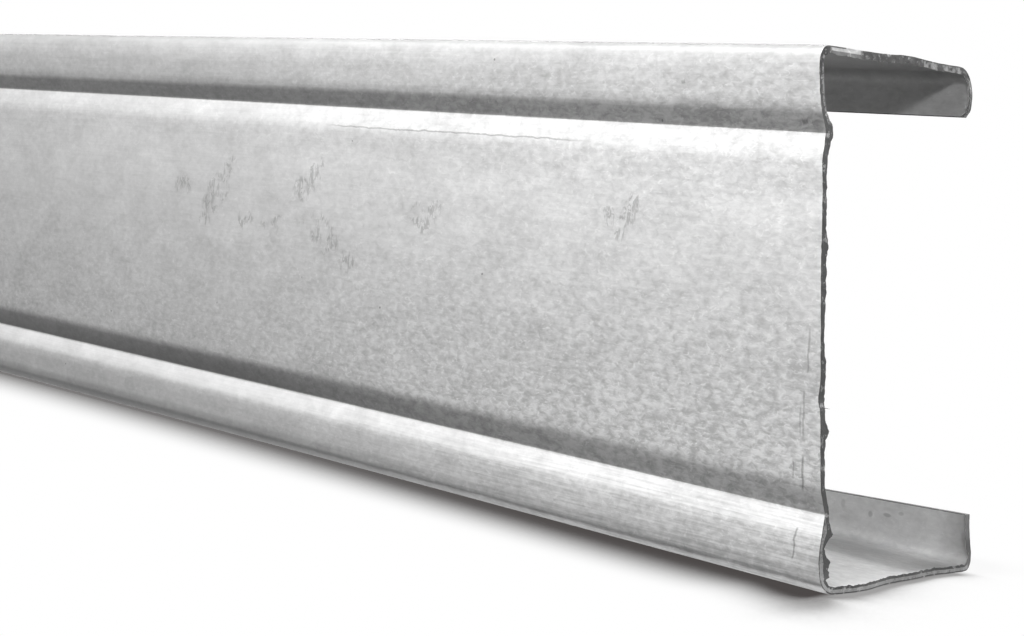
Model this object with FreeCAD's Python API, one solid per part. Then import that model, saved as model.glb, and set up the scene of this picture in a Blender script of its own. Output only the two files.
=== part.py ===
"""Lipped channel, cold-formed from galvanised steel sheet, standing on its lower flange.

Millimetres. X runs along the length, with the hand-cut end at +X. The web's outer face looks to -Y and the lips
stand at +Y. The origin is at the bottom centre of the channel's bounding box.
"""

import FreeCAD, Part
import math
import os
from FreeCAD import Vector

# Sizes of the length of stock
stock_length = 1000.0
cut_skew_degrees = 6.25

# Sizes of the section, all over the outside
web_height = 75.0
flange_width = 38.0
lip_height = 7.5
sheet_thickness = 0.8

# Bend radii, on the inside of each bend
web_bend_radius = 1.4
lip_bend_radius = 2.2

# The two stiffening grooves pressed into the web, measured on its outer face
upper_groove_from_top = 12.1
lower_groove_from_base = 10.9
groove_depth = 1.0
groove_half_width = 3.7
groove_crease_radius = 0.5
groove_shoulder_radius = 6.2


class Corner:
    """A corner of the sheet's outer face in the section, with the radius on the hollow side of its bend."""

    def __init__(self, y, z, hollow_radius):
        self.y = y
        self.z = z
        self.hollow_radius = hollow_radius

    def point(self):
        return Vector(0, self.y, self.z)


def groove_corners(vertex_height):
    """The three corners of one groove, from its upper shoulder to its lower one."""
    return [
        Corner(0, vertex_height + groove_half_width, groove_shoulder_radius),
        Corner(groove_depth, vertex_height, groove_crease_radius),
        Corner(0, vertex_height - groove_half_width, groove_shoulder_radius),
    ]


def outer_corners():
    """The outer face's corners, from the upper lip's free edge round to the lower lip's."""
    return [
        Corner(flange_width, web_height - lip_height, 0),
        Corner(flange_width, web_height, lip_bend_radius),
        Corner(0, web_height, web_bend_radius),
        *groove_corners(web_height - upper_groove_from_top),
        *groove_corners(lower_groove_from_base),
        Corner(0, 0, web_bend_radius),
        Corner(flange_width, 0, lip_bend_radius),
        Corner(flange_width, lip_height, 0),
    ]


def left_of(direction):
    """The unit vector to the left of a direction in the section, which is the side that the sheet lies on."""
    return Vector(0, -direction.z, direction.y)


def directions(points):
    """Unit vectors along the straight runs between the points."""
    return [(end - start).normalize() for start, end in zip(points, points[1:])]


def turns(points):
    """Signed turn at each inner point in radians, positive to the left."""
    runs = directions(points)
    signed_turns = []
    for before, after in zip(runs, runs[1:]):
        signed_turns.append(math.atan2(before.y * after.z - before.z * after.y, before.dot(after)))
    return signed_turns


def offset_points(points, distance):
    """The points moved to the left by a distance, so that each run stays parallel to itself."""
    runs = directions(points)
    moved = [points[0] + left_of(runs[0]) * distance]
    for point, before, after in zip(points[1:-1], runs, runs[1:]):
        middle = (left_of(before) + left_of(after)).normalize()
        moved.append(point + middle * (distance / middle.dot(left_of(before))))
    moved.append(points[-1] + left_of(runs[-1]) * distance)
    return moved


def rounded_path(points, radii):
    """Edges of the straight runs between the points, with an arc of the given radius at each inner point."""
    runs = directions(points)
    edges = []
    start = points[0]
    for point, radius, turn, before, after in zip(points[1:-1], radii, turns(points), runs, runs[1:]):
        tangent = radius * math.tan(abs(turn) / 2)
        arc_start = point - before * tangent
        arc_end = point + after * tangent
        to_centre = (after - before).normalize()
        sagitta_point = point + to_centre * (radius / math.cos(turn / 2) - radius)
        edges.append(Part.LineSegment(start, arc_start).toShape())
        edges.append(Part.Arc(arc_start, sagitta_point, arc_end).toShape())
        start = arc_end
    edges.append(Part.LineSegment(start, points[-1]).toShape())
    return edges


def section_face():
    """The sheet's section: its outer face's path, the path one thickness inside it, and the two free edges."""
    corners = outer_corners()
    outer_points = [corner.point() for corner in corners]
    inner_points = offset_points(outer_points, sheet_thickness)
    outer_radii = []
    inner_radii = []
    for corner, turn in zip(corners[1:-1], turns(outer_points)):
        hollow_side = corner.hollow_radius
        full_side = corner.hollow_radius + sheet_thickness
        outer_radii.append(full_side if turn > 0 else hollow_side)
        inner_radii.append(hollow_side if turn > 0 else full_side)
    edges = rounded_path(outer_points, outer_radii)
    edges += rounded_path(inner_points, inner_radii)
    edges.append(Part.LineSegment(outer_points[0], inner_points[0]).toShape())
    edges.append(Part.LineSegment(outer_points[-1], inner_points[-1]).toShape())
    return Part.Face(Part.Wire(Part.sortEdges(edges)[0]))


def cut_off_prism():
    """What the saw takes off at the +X end: the lower flange stays at full length and the upper one ends short."""
    clearance = web_height
    slope = math.tan(math.radians(cut_skew_degrees))
    low = -clearance
    high = web_height + clearance
    outside = stock_length / 2 + clearance
    corners = [
        Vector(stock_length / 2 - slope * low, 0, low),
        Vector(stock_length / 2 - slope * high, 0, high),
        Vector(outside, 0, high),
        Vector(outside, 0, low),
    ]
    profile = Part.Face(Part.makePolygon(corners + corners[:1]))
    profile.translate(Vector(0, -flange_width, 0))
    return profile.extrude(Vector(0, 3 * flange_width, 0))


def c_channel():
    """The whole channel, one bent sheet."""
    section = section_face()
    section.translate(Vector(-stock_length / 2, -flange_width / 2, 0))
    bar = section.extrude(Vector(stock_length, 0, 0))
    return bar.cut(cut_off_prism()).Solids[0]


def export(name, solid):
    """Writes one piece to its STEP file."""
    print(name, "valid", solid.isValid(), "volume cm3", round(solid.Volume / 1000, 3))
    solid.exportStep(os.path.join("parts", name + ".step"))


os.makedirs("parts", exist_ok=True)
export("c_channel", c_channel())
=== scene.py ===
"""Lipped steel channel: one bent sheet with a hand-cut end, its galvanised finish, and its studio."""

import logging
import math
from dataclasses import dataclass, replace
from enum import Enum
from typing import Any, Iterable, Optional, Sequence, Union

import bpy
from mathutils import Matrix, Vector, noise


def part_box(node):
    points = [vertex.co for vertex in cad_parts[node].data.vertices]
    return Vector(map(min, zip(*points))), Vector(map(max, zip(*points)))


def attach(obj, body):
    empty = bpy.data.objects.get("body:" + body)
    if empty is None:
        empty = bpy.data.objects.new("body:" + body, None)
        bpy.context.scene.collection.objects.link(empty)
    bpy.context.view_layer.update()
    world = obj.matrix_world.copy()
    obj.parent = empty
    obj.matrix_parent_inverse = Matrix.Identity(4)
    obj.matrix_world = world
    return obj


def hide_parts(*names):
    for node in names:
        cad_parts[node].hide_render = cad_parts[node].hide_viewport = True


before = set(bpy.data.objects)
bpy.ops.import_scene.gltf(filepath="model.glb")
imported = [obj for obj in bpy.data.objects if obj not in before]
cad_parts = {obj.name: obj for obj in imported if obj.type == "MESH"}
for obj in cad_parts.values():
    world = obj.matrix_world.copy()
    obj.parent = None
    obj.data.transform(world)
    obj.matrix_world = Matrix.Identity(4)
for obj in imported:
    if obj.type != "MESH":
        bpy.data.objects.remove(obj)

CHANNEL_NODE = "c_channel"
CHANNEL_BODY = "root"
MM = 0.001
UP = Vector((0.0, 0.0, 1.0))

Triple = tuple[float, float, float]
Span = tuple[float, float]
Input = Union["Signal", float, Triple]
Row = Sequence[int]
Path = Sequence["SectionPoint"]
Paths = Sequence[Path]
Materials = list[bpy.types.Material]

log = logging.getLogger("lipped_channel")


def clamp(value: float, low: float = 0.0, high: float = 1.0) -> float:
    """Keeps a value between two limits."""
    return max(low, min(high, value))


def smooth(value: float) -> float:
    """Eases a share from 0 to 1 with level ends."""
    share = clamp(value)
    return share * share * (3.0 - 2.0 * share)


def bell(distance: float, half_width: float) -> float:
    """A bump that is 1 at no distance and fades away past its half width."""
    return math.exp(-((distance / half_width) ** 2))


def grain(x: float, y: float, z: float, size: float, seed: float = 0.0) -> float:
    """Smooth noise between about -1 and 1, with lumps of a size, and another pattern for each seed."""
    return noise.noise(Vector((x / size + seed, y / size - seed, z / size + 0.5 * seed)))


def direction(bearing_degrees: float, rise_degrees: float) -> Vector:
    """The way from a point to what stands round it.

    Args:
        bearing_degrees: 0 is in front of the web, and 90 is beyond the cut end.
        rise_degrees: The angle above the level.

    Returns:
        The unit vector.
    """
    bearing = math.radians(bearing_degrees)
    rise = math.radians(rise_degrees)
    return Vector((math.sin(bearing) * math.cos(rise), -math.cos(bearing) * math.cos(rise), math.sin(rise)))


def placed(name: str, data: bpy.types.ID) -> bpy.types.Object:
    """Makes an object and links it to the scene.

    Args:
        name: The object's name.
        data: Its mesh, light or camera.

    Returns:
        The new object.
    """
    made = bpy.data.objects.new(name, data)
    bpy.context.scene.collection.objects.link(made)
    return made


class Signal:
    """A value that runs between shader nodes, with arithmetic written as Python expressions."""

    def __init__(self, board: "NodeBoard", socket: bpy.types.NodeSocket) -> None:
        """Wraps an output socket of a node on the board."""
        self.board = board
        self.socket = socket

    def _math(self, operation: str, *values: Input) -> "Signal":
        """One Math node with its inputs in order."""
        return self.board.out("Math", {"operation": operation}, dict(enumerate(values)))

    def __add__(self, other: Input) -> "Signal":
        """Sum."""
        return self._math("ADD", self, other)

    def __radd__(self, other: Input) -> "Signal":
        """Sum with a number on the left."""
        return self._math("ADD", other, self)

    def __sub__(self, other: Input) -> "Signal":
        """Difference."""
        return self._math("SUBTRACT", self, other)

    def __rsub__(self, other: Input) -> "Signal":
        """Difference from a number."""
        return self._math("SUBTRACT", other, self)

    def __mul__(self, other: Input) -> "Signal":
        """Product."""
        return self._math("MULTIPLY", self, other)

    def __rmul__(self, other: Input) -> "Signal":
        """Product with a number on the left."""
        return self._math("MULTIPLY", other, self)

    def __truediv__(self, other: Input) -> "Signal":
        """Quotient."""
        return self._math("DIVIDE", self, other)

    def absolute(self) -> "Signal":
        """Distance from zero."""
        return self._math("ABSOLUTE", self)

    def at_least(self, other: Input) -> "Signal":
        """The larger of two values."""
        return self._math("MAXIMUM", self, other)

    def at_most(self, other: Input) -> "Signal":
        """The smaller of two values."""
        return self._math("MINIMUM", self, other)

    def between(self, start: float, full: float, eased: bool = True) -> "Signal":
        """A share that is held past both of its ends.

        Args:
            start: Where the share is 0. It may be above the other end.
            full: Where the share is 1.
            eased: Whether it leaves its ends gently.

        Returns:
            The share.
        """
        settings = {"interpolation_type": "SMOOTHSTEP" if eased else "LINEAR"}
        values = {"Value": self, "From Min": min(start, full), "From Max": max(start, full)}
        share = self.board.out("MapRange", settings, values)
        return share if full > start else 1.0 - share

    def above(self, limit: float, fade: float) -> "Signal":
        """1 above a limit and 0 below it, with a fade to each side."""
        return self.between(limit - fade, limit + fade)

    def below(self, limit: float, fade: float) -> "Signal":
        """1 below a limit and 0 above it, with a fade to each side."""
        return self.between(limit + fade, limit - fade)


@dataclass(frozen=True)
class Spot:
    """The spot that a material is worked out for, in metres in the piece's own frame."""

    board: "NodeBoard"
    place: Signal
    x: Signal
    y: Signal
    z: Signal


class NodeBoard:
    """A node tree that is filled from code."""

    def __init__(self, tree: bpy.types.NodeTree) -> None:
        """Clears the tree."""
        self.tree = tree
        self.tree.nodes.clear()

    def node(self, kind: str, settings: dict[str, Any], values: dict[Any, Input]) -> bpy.types.Node:
        """Adds any node.

        Args:
            kind: The node's type, without the word that all shader nodes start with.
            settings: Its properties, which are set first. The key stops holds a ramp's places and greys.
            values: Numbers, colours or signals for its input sockets, by name or place.

        Returns:
            The new node.
        """
        made = self.tree.nodes.new("ShaderNode" + kind)
        for name, value in settings.items():
            if name == "stops":
                self._set_stops(made.color_ramp, value)
            else:
                setattr(made, name, value)
        for key, value in values.items():
            socket = made.inputs[key]
            if isinstance(value, Signal):
                self.tree.links.new(value.socket, socket)
            else:
                socket.default_value = (*value, 1.0) if socket.type == "RGBA" else value
        return made

    @staticmethod
    def _set_stops(ramp: bpy.types.ColorRamp, stops: Sequence[Span]) -> None:
        """Gives a ramp one grey at each place.

        Args:
            ramp: The ramp of a new node.
            stops: The places and greys, from left to right.
        """
        while len(ramp.elements) < len(stops):
            ramp.elements.new(0.5)
        for element, (place, grey) in zip(ramp.elements, stops):
            element.position = place
            element.color = (grey, grey, grey, 1.0)

    def out(self, kind: str, settings: dict[str, Any], values: dict[Any, Input], socket: Any = 0) -> Signal:
        """Adds any node and returns one of its outputs as a signal."""
        return Signal(self, self.node(kind, settings, values).outputs[socket])

    def spot(self) -> Spot:
        """The spot that is being shaded.

        Returns:
            Its place as a vector, with the vector's parts.
        """
        place = self.out("TexCoord", {}, {}, "Object")
        parts = self.node("SeparateXYZ", {}, {"Vector": place}).outputs
        return Spot(self, place, *(Signal(self, part) for part in parts))

    def scaled(self, colour: Signal, factor: Signal) -> Signal:
        """A colour times a number."""
        return self.out("VectorMath", {"operation": "SCALE"}, {"Vector": colour, "Scale": factor})

    def blend(self, share: Signal, first: Triple, second: Triple) -> Signal:
        """Mixes two colours."""
        return self.out("Mix", {"data_type": "RGBA"}, {0: share, 6: first, 7: second}, 2)

    def bump(self, height: Signal, strength: float, distance: float) -> Signal:
        """The normal over a relief."""
        return self.out("Bump", {}, {"Strength": strength, "Distance": distance, "Height": height})

    def ray_kinds(self) -> tuple[Signal, Signal]:
        """Which rays ask for the shading.

        Returns:
            1 for the camera's own rays, and 1 for those, gloss and what is seen through clear things.
        """
        outputs = self.node("LightPath", {}, {}).outputs
        camera = Signal(self, outputs["Is Camera Ray"])
        seen = camera.at_least(Signal(self, outputs["Is Glossy Ray"]))
        return camera, seen.at_least(Signal(self, outputs["Is Transmission Ray"]))


@dataclass(frozen=True)
class Cloud:
    """Cloudy noise: the size of its lumps, the detail in them, and how they are twisted and drawn out."""

    size: float
    detail: float = 2.0
    rough: float = 0.5
    swirl: float = 0.0
    draw: Optional[Triple] = None

    def at(self, spot: Spot) -> Signal:
        """Works out the noise.

        Args:
            spot: Where it is wanted.

        Returns:
            A value about 0.5.
        """
        place = spot.place
        if self.draw:
            place = spot.board.out("VectorMath", {"operation": "MULTIPLY"}, {0: place, 1: self.draw})
        values = {
            "Vector": place,
            "Scale": 1.0 / self.size,
            "Detail": self.detail,
            "Roughness": self.rough,
            "Distortion": self.swirl,
        }
        return spot.board.out("TexNoise", {"noise_dimensions": "3D"}, values, "Fac")

    def ripple(self, spot: Spot) -> Signal:
        """The noise about 0."""
        return self.at(spot) - 0.5


class SurfaceFinish:
    """A finish that fills a material of its own."""

    name: str

    def material(self) -> bpy.types.Material:
        """Builds the finish.

        Returns:
            The material, with its detail worked out from the place on the piece.
        """
        material = bpy.data.materials.new(self.name)
        material.use_nodes = True
        board = NodeBoard(material.node_tree)
        board.node("OutputMaterial", {}, {"Surface": self._shader(board)})
        return material

    def _shader(self, board: NodeBoard) -> Signal:
        """The shader, which each finish makes in its own way."""
        raise NotImplementedError


@dataclass(frozen=True)
class ToneStop:
    """The zinc's painted light and shade, as a brightness near the cut and far off, and the strength of its
    spangle at one height of the web, in millimetres.
    """

    height: float
    painted_tone_near_cut: float
    painted_tone_far_off: float
    spangle: float


# Painted light and shade by height: lighter on the groove flanks that face up, darker on those that face down
# and on the top bend, and mostly darker far behind the cut.
WEB_PAINTED_SHADE_AND_SPANGLE = (
    ToneStop(0.0, 1.05, 0.95, 0.8),
    ToneStop(1.2, 0.98, 0.73, 0.8),
    ToneStop(1.6, 0.9, 0.41, 1.0),
    ToneStop(2.8, 0.76, 0.52, 1.1),
    ToneStop(3.6, 0.97, 0.7, 1.1),
    ToneStop(5.2, 1.06, 0.72, 1.1),
    ToneStop(7.2, 1.03, 0.77, 1.1),
    ToneStop(8.2, 1.2, 1.1, 0.6),
    ToneStop(10.75, 1.3, 1.3, 0.5),
    ToneStop(11.05, 0.85, 0.17, 1.9),
    ToneStop(14.0, 0.83, 0.3, 2.1),
    ToneStop(15.2, 0.98, 0.73, 2.1),
    ToneStop(17.0, 1.0, 0.75, 2.1),
    ToneStop(30.0, 0.99, 0.84, 1.5),
    ToneStop(42.0, 1.12, 0.94, 0.9),
    ToneStop(52.0, 1.27, 1.04, 0.85),
    ToneStop(58.6, 1.13, 0.98, 1.1),
    ToneStop(62.75, 1.04, 1.07, 0.8),
    ToneStop(63.05, 0.63, 0.34, 2.0),
    ToneStop(65.4, 0.64, 0.38, 2.0),
    ToneStop(66.2, 1.0, 0.79, 1.4),
    ToneStop(70.0, 0.93, 0.8, 1.2),
    ToneStop(71.8, 1.02, 1.0, 1.0),
    ToneStop(72.8, 1.08, 1.06, 0.9),
    ToneStop(73.4, 0.79, 0.81, 0.8),
    ToneStop(74.0, 0.6, 0.63, 0.7),
    ToneStop(74.5, 0.45, 0.49, 0.6),
    ToneStop(75.0, 0.43, 0.45, 0.6),
)


@dataclass(frozen=True)
class Scratch:
    """A thin dark scratch on the web, between two places given by their X and height in millimetres."""

    start: Span
    end: Span
    half_width: float = 0.15
    depth: float = 0.4
    wander: float = 0.35
    faded_ends: float = 0.15

    def mark(self, spot: Spot, wobble: Signal) -> Signal:
        """How dark the scratch is.

        Args:
            spot: Where it is wanted.
            wobble: A value of about -0.5 to 0.5 that bends the scratch.

        Returns:
            0 off the scratch, and its depth in the middle.
        """
        run = Vector(self.end) - Vector(self.start)
        length = run.length * MM
        way = run.normalized()
        from_x = spot.x - self.start[0] * MM
        from_z = spot.z - self.start[1] * MM
        along = from_x * way.x + from_z * way.y
        across = (from_x * way.y - from_z * way.x + wobble * (self.wander * 2.0 * MM)).absolute()
        faded = self.faded_ends * length
        inside = along.between(0.0, faded) * along.between(length, length - faded)
        return across.below(self.half_width * MM, self.half_width * 0.6 * MM) * inside * self.depth


SCRATCHES = (
    Scratch((382.9, 59.5), (451.2, 59.7), 0.11, 0.55, 0.28),
    Scratch((494.3, 36.6), (494.6, 29.5)),
    Scratch((494.2, 28.2), (494.8, 20.5)),
    Scratch((493.8, 25.6), (494.3, 20.9), 0.12, 0.35),
    Scratch((495.1, 19.0), (495.5, 13.4), 0.17, 0.6),
    Scratch((493.5, 17.8), (493.7, 15.0), 0.12),
    Scratch((495.2, 8.6), (494.9, 6.4), 0.18, 0.6, 0.5),
    Scratch((495.1, 6.8), (494.8, 3.9), 0.17, 0.6, 0.6),
    Scratch((489.3, 64.3), (490.4, 64.5), 0.3, 0.5),
    Scratch((480.6, 64.2), (481.6, 64.1), 0.25),
    Scratch((467.4, 69.1), (468.2, 69.3), 0.22),
)


@dataclass(frozen=True)
class OvalMark:
    """An oval mark on an upright face, given by its middle's X and height in millimetres.

    The rim says at which squares of the distance from the middle, in half sizes, the mark starts and is full.
    """

    x: float
    z: float
    half_length: float
    half_height: float
    depth: float = 1.0
    rim: Span = (1.3, 0.5)

    def share(self, spot: Spot) -> Signal:
        """How strongly the mark shows.

        Args:
            spot: Where it is wanted.

        Returns:
            0 outside the oval, and the mark's depth well inside it.
        """
        from_x = (spot.x - self.x * MM) * (1.0 / (self.half_length * MM))
        from_z = (spot.z - self.z * MM) * (1.0 / (self.half_height * MM))
        return (from_x * from_x + from_z * from_z).between(*self.rim) * self.depth


class StreakPatch(OvalMark):
    """A patch of short upright streaks in the web's zinc."""


STREAK_PATCHES = (
    StreakPatch(357.8, 50.2, 2.2, 2.8),
    StreakPatch(354.5, 46.2, 3.6, 3.0),
    StreakPatch(352.0, 43.0, 2.6, 2.4),
    StreakPatch(350.8, 39.8, 2.0, 2.0),
    StreakPatch(342.8, 46.1, 3.0, 2.0),
    StreakPatch(363.6, 40.9, 2.6, 2.0),
    StreakPatch(372.2, 41.1, 3.8, 1.8),
    StreakPatch(384.2, 50.8, 2.4, 3.4),
    StreakPatch(380.0, 47.7, 2.6, 2.4),
    StreakPatch(385.0, 41.2, 4.2, 2.8),
    StreakPatch(388.6, 39.0, 2.8, 3.0),
    StreakPatch(394.1, 36.0, 2.2, 2.2),
    StreakPatch(415.5, 47.1, 2.2, 2.8),
    StreakPatch(411.5, 45.8, 1.8, 2.0),
    StreakPatch(413.8, 44.1, 3.0, 1.8),
    StreakPatch(455.2, 48.0, 1.6, 2.2),
    StreakPatch(459.8, 50.5, 1.8, 3.2),
    StreakPatch(458.0, 47.0, 2.4, 2.0),
)


@dataclass(frozen=True)
class Smudge(OvalMark):
    """A small dull spot on the lower lip's inner face."""

    half_length: float = 0.5
    half_height: float = 0.3
    depth: float = 0.3
    rim: Span = (1.6, 0.3)


LIP_SMUDGES = (
    Smudge(476.7, 5.6, 0.4, 0.7, 0.15),
    Smudge(482.0, 4.9, 0.4, 0.5),
    Smudge(485.1, 5.3, 0.7),
    Smudge(487.6, 6.0, depth=0.2),
)


@dataclass(frozen=True)
class GalvanisedZinc(SurfaceFinish):
    """Hot-dip zinc on cold-rolled sheet: small soft spangle, roll lines along it, and a few pinholes."""

    name: str = "zinc"
    cut_x: float = 0.5
    pale: Triple = (0.76, 0.76, 0.76)
    dull: Triple = (0.46, 0.46, 0.46)
    metallic: float = 0.12
    roughness: float = 0.48
    roughness_by_spangle: float = 0.12
    roughness_by_rolling: float = 0.08
    specular: float = 0.5
    spangle: Cloud = Cloud(1.0 * MM, 3.0, 0.6, 0.4, (0.6, 1.0, 1.0))
    spangle_contrast: float = 2.0
    spangle_strength: float = 0.45
    flecks: Cloud = Cloud(0.9 * MM, 1.0, 0.5, 1.6, (0.6, 1.0, 1.0))
    fleck_window: Span = (0.6, 0.74)
    fleck_contrast: float = 0.35
    mottle: Cloud = Cloud(4.5 * MM, 1.0, 0.5, 0.5, (0.6, 1.0, 1.0))
    mottle_strength: float = 0.72
    clouds: Cloud = Cloud(20 * MM, 3.0, 0.55, 0.0, (0.6, 1.0, 1.0))
    cloud_strength: float = 0.45
    roll_lines: Cloud = Cloud(0.3 * MM, draw=(0.025, 1.0, 1.0))
    roll_strength: float = 0.3
    roll_relief: float = 1.15
    relief_strength: float = 0.5
    relief_height: float = 0.06 * MM
    pinhole_spacing: float = 9 * MM
    pinhole_radius: float = 0.2 * MM
    pinhole_rim: Span = (1.3, 0.6)
    pinhole_depth: float = 0.55

    def _shader(self, board: NodeBoard) -> Signal:
        """Mixes the zinc's tones.

        Args:
            board: The material's nodes.

        Returns:
            The shader.
        """
        spot = board.spot()
        spangle = self.spangle.ripple(spot)
        flecks = self.flecks.at(spot).between(*self.fleck_window)
        roll_lines = self.roll_lines.ripple(spot)
        strength = self._spangle_strength(spot)
        tone = 0.5 + self.clouds.ripple(spot) * self.cloud_strength
        tone = tone + self.mottle.ripple(spot) * self.mottle_strength + roll_lines * self._roll_strength(spot)
        tone = tone + (spangle * self.spangle_contrast + flecks * self.fleck_contrast) * strength
        colour = board.blend(tone.at_least(0.0).at_most(1.0), self.dull, self.pale)
        unmarked = 1.0 - self._pinholes(spot) * self.pinhole_depth
        relief = spangle * strength + roll_lines * (self.roll_strength * self.roll_relief)
        rough = self.roughness + spangle * self.roughness_by_spangle + roll_lines * self.roughness_by_rolling
        # The base colour carries each finish's painted light and shade, and its marks.
        values = {
            "Base Color": board.scaled(colour, self._painted_shade_and_marks(spot) * unmarked),
            "Metallic": self._metallic(spot),
            "Roughness": rough,
            "Specular IOR Level": self.specular,
            "Normal": board.bump(relief, self.relief_strength, self.relief_height),
        }
        return board.out("BsdfPrincipled", {}, values)

    def _pinholes(self, spot: Spot) -> Signal:
        """Sparse dark specks.

        Args:
            spot: Where they are wanted.

        Returns:
            1 in a speck and 0 off it.
        """
        values = {"Vector": spot.place, "Scale": 1.0 / self.pinhole_spacing}
        distance = spot.board.out("TexVoronoi", {"feature": "F1"}, values, "Distance") * self.pinhole_spacing
        ragged = Cloud(self.pinhole_radius * 2.0, 1.0).ripple(spot) * self.pinhole_radius
        outside, inside = self.pinhole_rim
        return (distance + ragged).between(self.pinhole_radius * outside, self.pinhole_radius * inside)

    def _behind(self, spot: Spot) -> Signal:
        """The distance behind the foot of the cut end."""
        return self.cut_x - spot.x

    def _spangle_strength(self, spot: Spot) -> Input:
        """How strongly the spangle shows at a spot."""
        return self.spangle_strength

    def _roll_strength(self, spot: Spot) -> Input:
        """How strongly the roll lines show at a spot."""
        return self.roll_strength

    def _painted_shade_and_marks(self, spot: Spot) -> Input:
        """What the zinc's brightness is multiplied by at a spot: painted light and shade, and marks."""
        raise NotImplementedError

    def _metallic(self, spot: Spot) -> Input:
        """How bare the metal is at a spot."""
        return self.metallic


@dataclass(frozen=True)
class WornWebZinc(GalvanisedZinc):
    """The outer face's zinc, with painted light and shade in its tone by height and by distance from the cut,
    and with scratches, streaks and a bright, rubbed lower rim.
    """

    name: str = "outer_zinc"
    height: float = 75 * MM
    # Painted light and shade by height, with the spangle's strength.
    stops: tuple[ToneStop, ...] = WEB_PAINTED_SHADE_AND_SPANGLE
    scratches: tuple[Scratch, ...] = SCRATCHES
    streak_patches: tuple[StreakPatch, ...] = STREAK_PATCHES
    brightest_tone: float = 1.3
    # Over this distance behind the cut the painted tones go from near to far, and the spangle weakens.
    far_behind: Span = (0.0, 140 * MM)
    far_spangle: float = 0.45
    rim_height: float = 1.15 * MM
    rim_fade: float = 0.25 * MM
    rim_behind: Span = (185 * MM, 0.0)
    rim_metallic: float = 0.7
    rim_wave: Cloud = Cloud(6 * MM)
    rim_wave_height: float = 0.8 * MM
    base_heights: Span = (10.5 * MM, 8.5 * MM)
    base_behind: Span = (140 * MM, 40 * MM)
    base_roll_strength: float = 0.8
    low_web_heights: Span = (38 * MM, 16 * MM)
    low_web_behind: Span = (90 * MM, 25 * MM)
    low_web_roll_strength: float = 0.5
    wobble: Cloud = Cloud(1.8 * MM)
    streaks: Cloud = Cloud(0.8 * MM, 2.0, 0.6, 0.9, (1.0, 1.0, 0.3))
    streak_window: Span = (0.09, 0.02)
    streak_breaks: Cloud = Cloud(2.2 * MM, 1.0)
    break_window: Span = (0.42, 0.56)
    streak_depth: float = 0.43
    mark_depth: float = 0.75

    def _by_height(self, spot: Spot, tones: Iterable[float]) -> Signal:
        """A value that runs through the stops from the floor up.

        Args:
            spot: Where the value is wanted.
            tones: The value at each stop.

        Returns:
            The value at the spot's height.
        """
        heights = [stop.height * MM / self.height for stop in self.stops]
        greys = [tone / self.brightest_tone for tone in tones]
        settings = {"stops": list(zip(heights, greys))}
        ramp = spot.board.out("ValToRGB", settings, {"Fac": spot.z * (1.0 / self.height)})
        return ramp * self.brightest_tone

    def _far(self, spot: Spot) -> Signal:
        """0 at the cut end and 1 well behind it."""
        return self._behind(spot).between(*self.far_behind, eased=False)

    def _spangle_strength(self, spot: Spot) -> Input:
        """Strong near the cut end and by the grooves."""
        by_height = self._by_height(spot, [stop.spangle for stop in self.stops])
        return by_height * (1.0 - self._far(spot) * (1.0 - self.far_spangle))

    def _roll_strength(self, spot: Spot) -> Input:
        """Strong near the cut end, under the lower groove and on the web's lower part.

        Args:
            spot: Where the strength is wanted.

        Returns:
            The strength.
        """
        behind = self._behind(spot)
        base = spot.z.between(*self.base_heights) * behind.between(*self.base_behind)
        low_web = spot.z.between(*self.low_web_heights) * behind.between(*self.low_web_behind)
        return self.roll_strength + base * self.base_roll_strength + low_web * self.low_web_roll_strength

    def _painted_shade_and_marks(self, spot: Spot) -> Input:
        """Painted light and shade by height, near the cut and far off, less the marks.

        Args:
            spot: Where the tone is wanted.

        Returns:
            The brightness.
        """
        # Painted light and shade: the tone by height, blended from near the cut to far off.
        near = self._by_height(spot, [stop.painted_tone_near_cut for stop in self.stops])
        far = self._by_height(spot, [stop.painted_tone_far_off for stop in self.stops])
        share = self._far(spot)
        return (near * (1.0 - share) + far * share) * (1.0 - self._marks(spot) * self.mark_depth)

    def _metallic(self, spot: Spot) -> Input:
        """Rubbed bare along the lower rim, most of all near the cut end.

        Args:
            spot: Where the share is wanted.

        Returns:
            The share of bare metal.
        """
        wavy = spot.z + self.rim_wave.ripple(spot) * self.rim_wave_height
        rim = wavy.below(self.rim_height, self.rim_fade) * self._behind(spot).between(*self.rim_behind)
        return self.metallic + rim * (self.rim_metallic - self.metallic)

    def _marks(self, spot: Spot) -> Signal:
        """Scratches at their places, and fine broken lines inside the streak patches.

        Args:
            spot: Where the marks are wanted.

        Returns:
            How dark they are.
        """
        wobble = self.wobble.ripple(spot)
        scratches = sum(scratch.mark(spot, wobble) for scratch in self.scratches)
        patch = self.streak_patches[0].share(spot)
        for other in self.streak_patches[1:]:
            patch = patch.at_least(other.share(spot))
        lines = self.streaks.ripple(spot).absolute().between(*self.streak_window)
        broken = self.streak_breaks.at(spot).between(*self.break_window)
        return scratches + lines * broken * patch * self.streak_depth


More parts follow.
